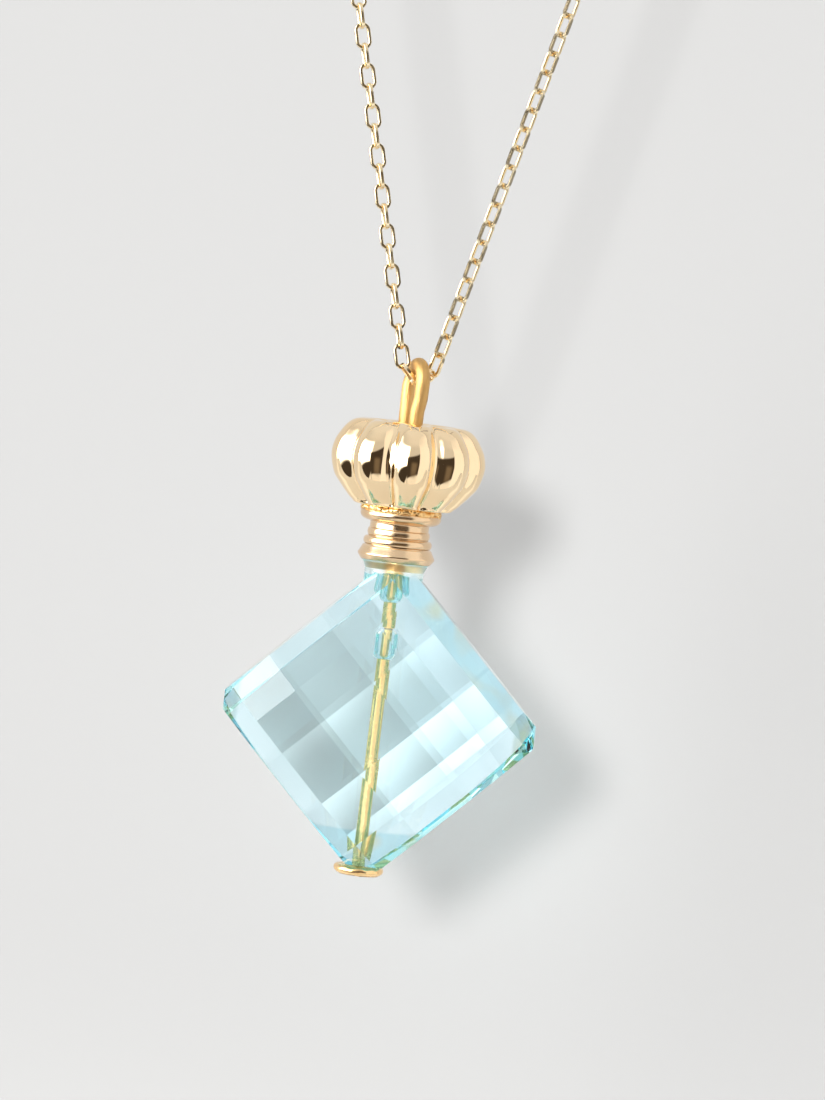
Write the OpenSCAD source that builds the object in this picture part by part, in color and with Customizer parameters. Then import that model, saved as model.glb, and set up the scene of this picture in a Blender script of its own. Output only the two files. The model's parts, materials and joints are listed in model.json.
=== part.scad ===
// Bottle pendant on a fine chain: a clear faceted stone under a turned collar and a lobed crown,
// threaded on one pin whose upper end is the bail. Millimetres, Z up, the front of the stone
// towards -Y. The origin is the middle of the clasp, at the top of the chain's loop.

/* [Chain] */
// Radius of the chain's loop where it goes round the neck
loop_r = 36.2; // [30:0.1:60]
// Lean of each straight strand from upright, in degrees
strand_lean = 13.8; // [11:0.1:20]
// Width across one link, which is the thickness of the whole chain
chain_w = 1.0; // [0.8:0.05:1.05]
// Radius of the bend that the chain takes on each side of the bail
chain_bend_r = 0.62; // [0.6:0.02:1]

/* [Clasp] */
// Length of the barrel clasp
clasp_len = 7; // [5:0.5:12]
// Diameter of the barrel clasp
clasp_d = 2.2; // [1.8:0.1:3]
// Width of the clasp's flat end outside the chain
clasp_rim = 0.1; // [0.05:0.05:0.2]

/* [Bail and pin] */
// Thickness of the bail's wire
wire_d = 0.9; // [0.7:0.05:1]
// Radius of the bail's round top, to the middle of the wire
bail_r = 1.2; // [1.15:0.05:1.5]
// Depth below the swing axis at which the bail's legs go into the stem
bail_foot = 3.0; // [2.8:0.05:4]
// Lean of the bail's two legs towards each other, in degrees
leg_lean = 3.5; // [1:0.5:6]
// Turn of the bail about the upright line, in degrees
bail_turn = 18; // [0:1:30]
// Width of the stem outside the bail's legs
stem_rim = 0.12; // [0.1:0.02:0.3]
// Length of the stem that carries the bail, inside the crown
stem_len = 1.6; // [1:0.1:3]
// Diameter of the pin that goes through the stone
pin_d = 0.8; // [0.6:0.05:0.9]
// Diameter of the pin's flat head
head_d = 2.8; // [2:0.1:3.4]
// Thickness of the pin's flat head
head_h = 0.6; // [0.4:0.05:1]

/* [Crown] */
// Radius of the crown over its lobes
crown_r = 4.9; // [4.6:0.05:5.2]
// Height of the crown from its rim to its flat underside
crown_h = 5.35; // [4.8:0.05:6]
// Height of the crown's rim above the top of the stem
rim_over = 0.54; // [0.4:0.02:1]
// Number of lobes
lobes = 9; // [8:1:12]
// Radius of each lobe's round back
lobe_r = 1.4; // [1.3:0.05:1.7]
// Turn of the first lobe from the front, in degrees
lobe_turn = 5.4; // [0:0.1:40]

/* [Collar] */
// Radius of the collar over its bottom lip
collar_r = 2.42; // [2.35:0.01:3]
// Height of the collar
collar_h = 3.33; // [3:0.01:4.5]
// Depth of the socket that takes the stone's neck
socket_depth = 0.85; // [0.5:0.05:0.9]
// Thickness of the lip above the socket
lip_roof = 0.05; // [0.05:0.05:0.3]

/* [Stone] */
// Side of the square stone, which hangs from one corner
stone_side = 14.62; // [13:0.02:17]
// How far each side stands out of the true square: lower right, lower left, upper left, upper right
side_out = [0.35, -0.11, -0.11, 0.11]; // [-0.3:0.01:0.5]
// Thickness of the stone from table to table
stone_t = 7.6; // [7:0.1:9]
// Diameter of the neck that goes into the collar
neck_d = 3.7; // [3.5:0.05:3.9]
// Diameter of the neck's rim under the collar
neck_rim_d = 4.15; // [4:0.05:4.4]
// Height over which the rim narrows to the neck
neck_rim_h = 0.45; // [0.3:0.05:0.6]
// Diameter of the hole from corner to corner
bore_d = 1.3; // [1.1:0.05:1.6]
// Length cut off each corner: right, top, left, bottom
corner_cuts = [0.37, 0.65, 0.76, 0.95]; // [0.2:0.01:1.5]

/* [Fit] */
// Gap between pieces threaded on the pin
fit_gap = 0.05; // [0.03:0.01:0.1]

/* [Hidden] */
eps = 0.01;
// How far a cutting tool runs past what it cuts
run_out = 1;
gold = [0.86, 0.66, 0.36];
rose_gold = [0.90, 0.72, 0.52];
clear_blue = [0.74, 0.90, 0.94, 0.6];

// The bail's legs are a hair thicker than its top, lap with the ends of it and run into the stem
leg_swell = 0.04;
leg_lap = 0.12;
leg_root = 0.3;
top_lap = 5;
leg_top = [bail_r * cos(leg_lean), -bail_r * sin(leg_lean)];
leg_foot = leg_top[0] - (bail_foot + leg_top[1]) * tan(leg_lean);
stem_d = 2 * leg_foot + wire_d + leg_swell + 2 * stem_rim;

// Places up and down, measured from the swing axis through the bail
stem_top = -bail_foot;
stem_bottom = stem_top - stem_len;
crown_top = stem_top + rim_over;
crown_bottom = crown_top - crown_h;
collar_top = crown_bottom - fit_gap;
collar_bottom = collar_top - collar_h;
stone_half = stone_side / 2;
stone_reach = stone_half * sqrt(2);
stone_mid = collar_bottom - fit_gap - stone_reach + corner_cuts[1];
stone_bottom = stone_mid - stone_reach + corner_cuts[3];
head_top = stone_bottom - fit_gap;

// The chain's route, for its right half: [distance from the pendant's axis, height]
hole_half = 0.3;
bend_end_s = hole_half + chain_bend_r * cos(strand_lean);
strand_top = [loop_r * cos(strand_lean), -loop_r - loop_r * sin(strand_lean)];
strand_len = (strand_top[0] - bend_end_s) / sin(strand_lean);
bend_end_z = strand_top[1] - strand_len * cos(strand_lean);
swing_z = bend_end_z - chain_bend_r * (1 - sin(strand_lean));
bend_steps = 5;
strand_steps = 7;
loop_steps = 20;
clasp_angle = asin((clasp_len / 2 + fit_gap) / loop_r);
loop_sweep = 90 + strand_lean - clasp_angle;

// A place at distance s from the pendant's axis, in the upright plane that the bail's hole faces
function turned(s, z) = [s * cos(bail_turn), s * sin(bail_turn), z];
function bend_point(k) = let (a = -90 + (90 - strand_lean) * k / bend_steps)
    turned(hole_half + chain_bend_r * cos(a), swing_z + chain_bend_r * (1 + sin(a)));
strand_foot = bend_point(bend_steps);
strand_head = [strand_top[0], 0, strand_top[1]];
function strand_point(k) = strand_foot + (strand_head - strand_foot) * k / strand_steps;
function loop_point(k) = let (a = -strand_lean + loop_sweep * k / loop_steps)
    [loop_r * cos(a), 0, -loop_r + loop_r * sin(a)];
half_route = concat(
    [for (k = [0 : bend_steps - 1]) bend_point(k)],
    [for (k = [0 : strand_steps - 1]) strand_point(k)],
    [for (k = [0 : loop_steps]) loop_point(k)]
);
half_count = len(half_route);
function other_side(p) = [-p[0], -p[1], p[2]];
chain_route = concat(
    [for (k = [half_count - 1 : -1 : 0]) other_side(half_route[k])],
    half_route
);

// A tube of one thickness along a route, as one closed polyhedron
function unit(v) = v / norm(v);
function heading(route, k) = unit(
    route[min(k + 1, len(route) - 1)] - route[max(k - 1, 0)]
);
function tube_ring(p, along, r, sides) = let (
        up = unit(cross(along, [0, 1, 0])),
        out = cross(up, along)
    )
    [for (k = [0 : sides - 1]) p + r * (cos(360 * k / sides) * up + sin(360 * k / sides) * out)];

module tube(route, r, sides) {
    last = len(route) - 1;
    points = [for (k = [0 : last]) each tube_ring(route[k], heading(route, k), r, sides)];
    walls = [
        for (k = [0 : last - 1], j = [0 : sides - 1])
            let (i = (j + 1) % sides)
            [k * sides + j, k * sides + i, (k + 1) * sides + i, (k + 1) * sides + j]
    ];
    first_cap = [for (j = [sides - 1 : -1 : 0]) j];
    last_cap = [for (j = [0 : sides - 1]) last * sides + j];
    polyhedron(points, concat(walls, [first_cap, last_cap]));
}

// A round bead on a turned profile: [radius, height] from height z1 down to z0
function bead(r_side, r_mid, z1, z0, steps) = [
    for (k = [0 : steps])
        let (a = 90 - 180 * k / steps)
        [r_side + (r_mid - r_side) * cos(a), (z1 + z0) / 2 + (z1 - z0) / 2 * sin(a)]
];

module chain() {
    color(gold) tube(chain_route, chain_w / 2, 8);
}

// A plain barrel, turned, with round shoulders and flat ends that meet the chain
shoulder_step = 30;
module clasp() {
    shoulder = clasp_d / 4;
    end_r = chain_w / 2 + clasp_rim;
    half = clasp_len / 2;
    color(gold)
    rotate([0, 90, 0])
    rotate_extrude($fn = 48)
    polygon(concat(
        [[0, -half], [end_r, -half]],
        [for (a = [-90 : shoulder_step : 0]) [clasp_d / 2 - shoulder + shoulder * cos(a),
            -half + 2 * shoulder + shoulder * sin(a)]],
        [for (a = [0 : shoulder_step : 90]) [clasp_d / 2 - shoulder + shoulder * cos(a),
            half - 2 * shoulder + shoulder * sin(a)]],
        [[end_r, half], [0, half]]
    ));
}

// One leg of the bail, from the end of its round top down into the stem
module bail_leg(side) {
    length = (bail_foot + leg_top[1]) / cos(leg_lean);
    translate([0, side * leg_top[0], leg_top[1]])
    rotate([-side * leg_lean, 0, 0])
    translate([0, 0, -length - leg_root])
    cylinder(h = length + leg_root + leg_lap, d = wire_d + leg_swell, $fn = 48);
}

// The bail's round top, centred on the swing axis
module bail_top() {
    rotate([0, 90, 0])
    rotate([0, 0, 90 - leg_lean - top_lap])
    rotate_extrude(angle = 180 + 2 * leg_lean + 2 * top_lap, $fn = 96)
    translate([bail_r, 0])
    circle(d = wire_d, $fn = 48);
}

// The pin: its bail, its stem in the crown, its shaft through the stone, and its flat head
module bail_pin() {
    color(gold)
    translate([0, 0, swing_z]) {
        rotate([0, 0, bail_turn]) {
            bail_top();
            bail_leg(1);
            bail_leg(-1);
        }
        translate([0, 0, stem_bottom])
        cylinder(h = stem_len, d = stem_d, $fn = 64);
        translate([0, 0, head_top - eps])
        cylinder(h = stem_bottom - head_top + 2 * eps, d = pin_d, $fn = 48);
        pin_head();
    }
}

// Share of the head's thickness at which its round edge meets the flat underside
head_edge = 0.8;
module pin_head() {
    rim = head_h / 2;
    translate([0, 0, head_top])
    rotate_extrude($fn = 64)
    polygon(concat(
        [[0, 0]],
        bead(head_d / 2 - rim, head_d / 2, 0, -head_edge * head_h, 6),
        [[0, -head_h]]
    ));
}

// The crown's half section: [share of crown_r, share of crown_h below the rim, share of the
// grooves' depth]
crown_rows = [
    [0.00, 0.120, 0.0],
    [0.20, 0.115, 0.1],
    [0.37, 0.075, 0.3],
    [0.52, 0.018, 0.7],
    [0.64, 0.000, 0.9],
    [0.75, 0.022, 1.0],
    [0.84, 0.085, 1.0],
    [0.91, 0.175, 1.0],
    [0.97, 0.280, 1.0],
    [1.00, 0.420, 1.0],
    [0.98, 0.550, 1.0],
    [0.93, 0.680, 1.0],
    [0.85, 0.775, 1.0],
    [0.76, 0.870, 1.0],
    [0.67, 0.950, 0.9],
    [0.55, 1.000, 0.5],
    [0.00, 1.000, 0.0]
];
row_steps = 2;
lobe_steps = 8;

// A smooth curve through the rows, which keeps to the first and the last one
function blend(a, b, c, d, t) = 0.5 * ((2 * b) + (c - a) * t
    + (2 * a - 5 * b + 4 * c - d) * t * t + (3 * b - a - 3 * c + d) * t * t * t);
function row_at(rows, k, t) = let (n = len(rows) - 1)
    blend(rows[max(k - 1, 0)], rows[k], rows[min(k + 1, n)], rows[min(k + 2, n)], t);
function smooth_rows(rows, steps) = concat(
    [for (k = [0 : len(rows) - 3], j = [0 : steps - 1]) row_at(rows, k, j / steps)],
    [rows[len(rows) - 2], rows[len(rows) - 1]]
);

// The grooves: each lobe's back is an arc out to lobe_edge, a share of its half width, and from
// there the groove's hollow levels out
lobe_edge = 0.82;
lobe_axis = crown_r - lobe_r;
function arc_fall(t) = let (a = t * 180 / lobes)
    crown_r - lobe_axis * cos(a) - sqrt(pow(lobe_r, 2) - pow(lobe_axis * sin(a), 2));
edge_fall = arc_fall(lobe_edge);
edge_slope = (edge_fall - arc_fall(lobe_edge - eps)) / eps;
// Depth below the lobe's top at t, from 0 on the lobe to 1 at the bottom of the groove
function groove(t) = t < lobe_edge ? arc_fall(t) : let (past = t - lobe_edge)
    edge_fall + edge_slope * (past - past * past / (2 - 2 * lobe_edge));

module crown() {
    rows = smooth_rows(crown_rows, row_steps);
    last = len(rows) - 1;
    around = lobes * lobe_steps;
    inner = [
        for (k = [1 : last - 1], j = [0 : around - 1])
            let (
                row = rows[k],
                t = 1 - abs(1 - 2 * ((j / lobe_steps) % 1)),
                r = crown_r * row[0] - row[2] * groove(t),
                a = -90 + lobe_turn + 360 * j / around
            )
            [r * cos(a), r * sin(a), -crown_h * row[1]]
    ];
    poles = [[0, 0, -crown_h * rows[0][1]], [0, 0, -crown_h * rows[last][1]]];
    top = len(inner);
    rings = last - 1;
    walls = [
        for (k = [0 : rings - 2], j = [0 : around - 1])
            let (i = (j + 1) % around)
            [k * around + j, k * around + i, (k + 1) * around + i, (k + 1) * around + j]
    ];
    top_fan = [for (j = [0 : around - 1]) [top, (j + 1) % around, j]];
    low = (rings - 1) * around;
    low_fan = [for (j = [0 : around - 1]) [top + 1, low + j, low + (j + 1) % around]];
    color(rose_gold)
    translate([0, 0, swing_z])
    difference() {
        translate([0, 0, crown_top])
        polyhedron(concat(inner, poles), concat(walls, top_fan, low_fan));
        translate([0, 0, crown_bottom - run_out])
        cylinder(h = crown_h + 2 * run_out, d = pin_d + 2 * fit_gap, $fn = 48);
        translate([0, 0, stem_bottom - fit_gap])
        cylinder(h = stem_len + fit_gap + rim_over + run_out, d = stem_d + 2 * fit_gap, $fn = 64);
    }
}

// The collar's lip goes round the socket, and the turned rings share the height above it
lip_h = socket_depth + lip_roof;
rings_h = collar_h - lip_h;
// The rings: [share of collar_r at the side, at the middle], then shares of rings_h from the top
collar_bead = [0.78, 1.05, 0.00, 0.37];
collar_groove = [0.765, 0.45, 0.53];
collar_ring_2 = [0.765, 0.81, 0.545, 0.75];
collar_ring_3 = [0.81, 0.89, 0.765, 0.985];
// The lip: [share of collar_r, share of lip_h from its top]
collar_lip = [[0.89, 0.00], [0.94, 0.26], [1.00, 0.56], [0.985, 0.70], [0.905, 1.00]];

function collar_round(b, steps) = bead(
    b[0] * collar_r, b[1] * collar_r, -b[2] * rings_h, -b[3] * rings_h, steps
);

module collar() {
    color(rose_gold)
    translate([0, 0, swing_z + collar_top])
    difference() {
        rotate_extrude($fn = 96)
        polygon(concat(
            [[0, 0]],
            collar_round(collar_bead, 8),
            [for (k = [1, 2]) [collar_groove[0] * collar_r, -collar_groove[k] * rings_h]],
            collar_round(collar_ring_2, 6),
            collar_round(collar_ring_3, 6),
            [for (p = collar_lip) [p[0] * collar_r, -rings_h - p[1] * lip_h]],
            [[0, -collar_h]]
        ));
        translate([0, 0, -collar_h - run_out])
        cylinder(h = collar_h + 2 * run_out, d = pin_d + 2 * fit_gap, $fn = 48);
        translate([0, 0, -collar_h - run_out])
        cylinder(h = socket_depth + run_out, d = neck_d + 2 * fit_gap, $fn = 64);
    }
}

// Rows of facets from the table outwards, one list for each side of the square, clockwise from
// the lower right: [share of the half side at which the row ends, fall per length]
facet_rows = [
    [[0.27, 0.00], [0.74, 0.14], [1, 0.80]],
    [[0.38, 0.00], [0.80, 0.16], [1, 0.90]],
    [[0.27, 0.00], [0.62, 0.11], [0.84, 0.24], [1, 1.00]],
    [[0.18, 0.00], [0.51, 0.10], [0.84, 0.22], [1, 1.00]]
];
// The outermost row runs out to this share, past the side, so that the outline cuts it
past_side = 1.15;

// The fall below the table at the end of row k
function fall(rows, k) = k < 0 ? 0
    : fall(rows, k - 1) + (rows[k][0] - (k > 0 ? rows[k - 1][0] : 0)) * rows[k][1];
function run_past(rows) = let (last = len(rows) - 1)
    [for (k = [0 : last]) k < last ? rows[k] : [past_side, rows[k][1]]];
// The edges between facets across one direction, from one side to the other: [share, fall]
function facet_edges(low, high) = concat(
    [for (k = [len(low) - 1 : -1 : 0]) [-low[k][0], fall(low, k)]],
    [for (k = [0 : len(high) - 1]) [high[k][0], fall(high, k)]]
);

// The facets of one face of the stone, on a block that runs past the stone's outline and back
module faceted_block(turn) {
    side = [for (k = [0 : 3]) run_past(facet_rows[(k + turn) % 4])];
    across = facet_edges(side[2], side[0]);
    along = facet_edges(side[1], side[3]);
    nu = len(across);
    nv = len(along);
    points = [
        for (face = [1, 0], i = [0 : nu - 1], j = [0 : nv - 1])
            [stone_half * across[i][0], stone_half * along[j][0],
                face > 0 ? stone_t / 2 - stone_half * (across[i][1] + along[j][1]) : -stone_t]
    ];
    function at(face, i, j) = face * nu * nv + i * nv + j;
    facets = [
        for (i = [0 : nu - 2], j = [0 : nv - 2])
            [at(0, i, j), at(0, i, j + 1), at(0, i + 1, j + 1), at(0, i + 1, j)]
    ];
    base = [
        for (i = [0 : nu - 2], j = [0 : nv - 2])
            [at(1, i, j), at(1, i + 1, j), at(1, i + 1, j + 1), at(1, i, j + 1)]
    ];
    walls_u = [
        for (i = [0 : nu - 2])
            each [
                [at(0, i, 0), at(0, i + 1, 0), at(1, i + 1, 0), at(1, i, 0)],
                [at(0, i + 1, nv - 1), at(0, i, nv - 1), at(1, i, nv - 1), at(1, i + 1, nv - 1)]
            ]
    ];
    walls_v = [
        for (j = [0 : nv - 2])
            each [
                [at(0, 0, j + 1), at(0, 0, j), at(1, 0, j), at(1, 0, j + 1)],
                [at(0, nu - 1, j), at(0, nu - 1, j + 1), at(1, nu - 1, j + 1), at(1, nu - 1, j)]
            ]
    ];
    polyhedron(points, concat(facets, base, walls_u, walls_v));
}

// The stone's outline seen from the front, a square on its corner with all four corners cut.
// Corner k, at 90 * k degrees, lies between side k and side k + 1, where side 0 is the lower
// right and side 1 the upper right.
sides_out = [side_out[0], side_out[3], side_out[2], side_out[1]];
module stone_outline() {
    polygon([
        for (k = [0 : 3], j = [0, 1])
            let (
                a = 90 * k,
                end = stone_reach - corner_cuts[k],
                out = (stone_half + sides_out[(k + j) % 4]) * sqrt(2) - end,
                w = j == 0 ? -out : out
            )
            [end * cos(a) - w * sin(a), end * sin(a) + w * cos(a)]
    ]);
}

// The neck, from its root inside the stone up into the collar's socket
neck_root = 3;
module stone_neck() {
    rim_top = collar_bottom - fit_gap;
    neck_top = collar_bottom + socket_depth - fit_gap;
    root = stone_mid + stone_reach - neck_root;
    rotate_extrude($fn = 64)
    polygon([
        [0, root],
        [neck_d / 2, root],
        [neck_d / 2, rim_top - neck_rim_h],
        [neck_rim_d / 2, rim_top],
        [neck_d / 2, rim_top],
        [neck_d / 2, neck_top],
        [0, neck_top]
    ]);
}

module stone() {
    color(clear_blue)
    translate([0, 0, swing_z])
    difference() {
        union() {
            translate([0, 0, stone_mid])
            rotate([90, 0, 0])
            intersection() {
                rotate([0, 0, -45])
                faceted_block(0);
                rotate([0, 0, -45])
                rotate([180, 0, 0])
                faceted_block(2);
                translate([0, 0, -stone_t])
                linear_extrude(height = 2 * stone_t)
                stone_outline();
            }
            stone_neck();
        }
        translate([0, 0, stone_bottom - run_out])
        cylinder(h = stone_mid + stone_reach - stone_bottom + neck_root, d = bore_d, $fn = 48);
    }
}

chain();
clasp();
bail_pin();
crown();
collar();
stone();
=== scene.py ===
import json
import math
import bmesh
import bpy
from mathutils import Matrix, Vector, noise


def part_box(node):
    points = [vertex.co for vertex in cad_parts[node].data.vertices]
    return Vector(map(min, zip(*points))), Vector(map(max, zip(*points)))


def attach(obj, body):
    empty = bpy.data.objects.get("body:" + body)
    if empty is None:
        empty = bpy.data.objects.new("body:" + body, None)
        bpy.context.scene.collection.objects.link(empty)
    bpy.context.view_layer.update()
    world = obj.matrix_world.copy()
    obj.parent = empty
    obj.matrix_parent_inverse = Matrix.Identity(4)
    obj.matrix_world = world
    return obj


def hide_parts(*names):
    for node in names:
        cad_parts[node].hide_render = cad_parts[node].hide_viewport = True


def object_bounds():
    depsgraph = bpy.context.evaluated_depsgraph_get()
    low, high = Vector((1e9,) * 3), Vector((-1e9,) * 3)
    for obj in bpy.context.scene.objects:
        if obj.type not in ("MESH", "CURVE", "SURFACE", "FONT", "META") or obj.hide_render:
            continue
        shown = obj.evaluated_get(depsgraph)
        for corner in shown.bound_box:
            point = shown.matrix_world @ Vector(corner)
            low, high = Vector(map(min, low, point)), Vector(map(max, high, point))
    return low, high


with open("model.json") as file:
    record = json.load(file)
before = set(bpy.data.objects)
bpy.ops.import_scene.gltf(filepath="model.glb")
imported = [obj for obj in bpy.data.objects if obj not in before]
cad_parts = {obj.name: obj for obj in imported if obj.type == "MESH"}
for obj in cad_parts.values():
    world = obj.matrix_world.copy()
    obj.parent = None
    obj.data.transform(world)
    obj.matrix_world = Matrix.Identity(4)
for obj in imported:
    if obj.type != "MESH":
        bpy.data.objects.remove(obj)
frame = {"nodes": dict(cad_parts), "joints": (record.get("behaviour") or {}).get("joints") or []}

# A bottle pendant on a fine cable chain. Lengths are millimetres here; new_piece() turns them
# into the frame's metres. The front of the stone faces -Y.
MM = 0.001
TOLERANCE = 0.001
cad_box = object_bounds()


def box_mm(node):
    low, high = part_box(node)
    return low / MM, high / MM


# Places and sizes taken from the frame
SWING = frame["joints"][0]
SWING_Z = SWING["pos_m"][2] / MM
BAIL_TURN = math.atan2(SWING["axis"][1], SWING["axis"][0])
PIN_LOW, PIN_HIGH = box_mm("bail_pin")
CROWN_LOW, CROWN_HIGH = box_mm("crown")
COLLAR_LOW, COLLAR_HIGH = box_mm("collar")
CHAIN_HIGH = box_mm("chain")[1]
CLASP_HIGH = box_mm("clasp")[1]

# The chain's middle line: its loop, the straight strands' lean, the bend beside the bail, half
# the straight stretch in the bail's hole, and how far and how widely it rises there
CHAIN_W = 1.0
LOOP_R = CHAIN_HIGH.x - CHAIN_W / 2
STRAND_LEAN = math.radians(13.8)
BEND_R = 0.62
HOLE_HALF = 0.3
BAIL_LIFT = 0.1
LIFT_REACH = 0.9
HOLE_STEPS = 6
BEND_STEPS = 24
STRAND_STEPS = 200
LOOP_STEPS = 200

# Links: their size, the first joint's place and what a strand may lack at the clasp
LINK_W = 1.08
LINK_WIRE = 0.25
LINK_PITCH = 1.25
FIRST_JOINT = -0.15
PITCH_SLACK = 0.02
END_GAP = 0.004
HALVINGS = 30
# Places round the wire's section, in degrees from outwards: it is cut flat on the outside and
# on both faces, with creases at some of the places
LINK_SECTION = (-44, 44, 60, 120, 150, 180, 210, 240, 300)
LINK_CREASES = (0, 1, 2, 3, 7, 8)
LINK_END_STEPS = 8
# The strands' twist near the pendant, and the far part's, to which they turn between two heights
LEFT_TWIST = math.radians(-16)
RIGHT_TWIST = math.radians(45)
FAR_TWIST = math.radians(45)
TWIST_Z = (-150, -70)

# Bail and stem
WIRE_D = 0.9
WIRE_SIDES = 32
BAIL_R = PIN_HIGH.z - SWING_Z - WIRE_D / 2
BAIL_FOOT = 3.0
ARC_STEPS = 60
LEG_STEPS = 24
LEG_ROOT = 0.3
LEG_LEAN = math.radians(3.5)
LEG_SWELL = 0.04
LEG_DROP = BAIL_FOOT - BAIL_R * math.sin(LEG_LEAN)
LEG_FOOT = BAIL_R * math.cos(LEG_LEAN) - LEG_DROP * math.tan(LEG_LEAN)
STEM_RIM = 0.12
STEM_D = 2 * LEG_FOOT + WIRE_D + LEG_SWELL + 2 * STEM_RIM
STEM_LEN = 1.6
# How far the wire bows sideways, and between which heights above the swing axis it starts to,
# in the rear leg and in the front one
BAIL_BOW = 0.10
BOW_Z = ((0.4, -0.3), (-0.8, -1.8))
# The skin over the bail and its stem: how fine it is, and its smoothing's factor and passes
SKIN_VOXEL = 0.045
SKIN_SMOOTHING = (0.5, 4)

# Pin and its head, with the head's edges above and below
PIN_D = 0.8
PIN_SIDES = 96
SHAFT_STEPS = 60
POINT_R = 0.0005
HEAD_H = 0.6
HEAD_D = PIN_HIGH.x - PIN_LOW.x
HEAD_EDGE = 0.02
HEAD_FOOT = 0.1 * HEAD_H
HEAD_STEPS = 12
FACE_STEPS = 10
# The hammered dents' depth and scale on the rim, and on the two faces. They keep off the shaft,
# and the top face, down to a depth, has only a share of them
RIM_DENT, RIM_DENT_SCALE = 0.03, 2.1
FACE_DENT, FACE_DENT_SCALE = 0.05, 2.4
SHAFT_CLEAR = 0.02
TOP_FACE_H, TOP_FACE_SHARE = 0.05, 0.3
DENT_SHIFT = Vector((3, 7, 1))

# Crown: its lobes, where their round backs end, as a share of their half width, and how far the
# one in front is turned
CROWN_R = 4.89
CROWN_H = CROWN_HIGH.z - CROWN_LOW.z
LOBES = 9
LOBE_R = 1.4
LOBE_EDGE = 0.82
LOBE_TURN = math.radians(5.4)
LOBE_STEPS = 26
ROW_STEPS = 6
WALL_STEPS = 6
BORE_GAP = 0.05
# The crown's half section: [share of its radius, share of its height below the rim, share of
# the grooves' depth]
CROWN_ROWS = (
    (0.00, 0.120, 0.0),
    (0.20, 0.115, 0.1),
    (0.37, 0.075, 0.3),
    (0.52, 0.018, 0.7),
    (0.64, 0.000, 0.9),
    (0.75, 0.022, 1.0),
    (0.84, 0.085, 1.0),
    (0.91, 0.175, 1.0),
    (0.97, 0.280, 1.0),
    (1.00, 0.420, 1.0),
    (0.98, 0.550, 1.0),
    (0.93, 0.680, 1.0),
    (0.85, 0.775, 1.0),
    (0.76, 0.870, 1.0),
    (0.67, 0.950, 0.9),
    (0.55, 1.000, 0.5),
    (0.00, 1.000, 0.0),
)

# Collar: its rings, as [share of its radius beside the ring, on it, shares of the rings' height
# at the ring's top and foot, steps], the groove and the lip, as shares of radius and height
COLLAR_R = 2.42
COLLAR_H = COLLAR_HIGH.z - COLLAR_LOW.z
COLLAR_SIDES = 192
COLLAR_BEAD = (0.78, 1.05, 0, 0.37, 24)
COLLAR_GROOVE = ((0.765, 0.40), (0.765, 0.45), (0.765, 0.53))
COLLAR_RINGS = ((0.765, 0.81, 0.545, 0.75, 16), (0.81, 0.89, 0.765, 0.985, 16))
COLLAR_LIP = (
    (0.89, 0.00), (0.905, 0.08), (0.92, 0.17), (0.94, 0.26), (0.965, 0.40), (0.99, 0.51),
    (1.00, 0.57), (0.998, 0.64), (0.985, 0.70), (0.955, 0.82), (0.93, 0.91), (0.905, 1.00),
)
SOCKET_DEPTH = 0.85
SOCKET_R = 1.9
SOCKET_EDGE = 0.02
LIP_ROOF = 0.05
LIP_H = SOCKET_DEPTH + LIP_ROOF
RINGS_H = COLLAR_H - LIP_H

# Grains of solder between the collar and the crown: the ring's radius, the grains' radius, how
# far the ring lies below the collar's top, how uneven it is, and the unevenness's two scales
SOLDER_RING_R = 2.30
SOLDER_R = 0.23
SOLDER_DROP = 0.10
SOLDER_LUMPS = 0.14
SOLDER_SCALES = (3.1, 7.3)
SOLDER_FINE_SHARE = 0.6
SOLDER_AROUND = 260
SOLDER_SIDES = 18

# Stone: its bore, and the two air bubbles in the clear cement round the pin, by the heights of
# their lower and upper ends
STONE_MID = -205.69
BORE_R = 0.65
BORE_SLACK = 0.01
WALL_MAX_NORMAL_Z = 0.5
BUBBLES = ((-198.75, -196.75), (-202.2, -200.25))
BUBBLE_R = 0.72
BUBBLE_ROUND = 0.45
BUBBLE_STEPS = 10
BUBBLE_SIDES = 64
PIN_LAP = 0.03
# The neck and the bubbles lie within this radius and are smooth; the facets are flat
ROUND_R = 2.2
CREASE = math.radians(25)

# The stone's colours: painted shade, greyer, in a zone given by its middle across and up and its
# reach
PAINTED_SHADE_ZONE = (-3.0, -205.5, 8.0)
PAINTED_SHADE_FLATTENING = 0.7
PAINTED_SHADE_AND_OWN_TINT = ((0.82, 0.90, 0.92), (0.83, 0.955, 1.0))
# Painted reflections on the outer facets, deep cyan and olive for the gold that they reflect,
# start this far from the middle, out towards the upper right side, down, and to left and right;
# each is full after its fade
REFLECTION_SIDE, SIDE_FADE = 6.1, 0.1
REFLECTION_FOOT, FOOT_FADE = 6.8, 0.3
REFLECTION_CORNER, CORNER_FADE = 8.5, 0.3
REFLECTION_FRONT = -0.5
EDGE_REFLECTION_COLOURS = ((0.40, 0.68, 0.78), (0.56, 0.58, 0.40))
EDGE_REFLECTION_NOISE = (0.42, 0.58)
# The neck's ground surface starts and is full at these heights
FROST_Z = (-197.0, -196.4)
FROST_COLOUR = (0.92, 0.95, 0.88)
FROST_ROUGHNESS = 0.3
STONE_IOR = 1.54
STONE_BLUE = (0.55, 0.945, 0.99)
STONE_DENSITY = 55
# The light that the stone lets through on to the paper is simply tinted
SHADOW_TINT = (0.24, 0.30, 0.30)

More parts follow.
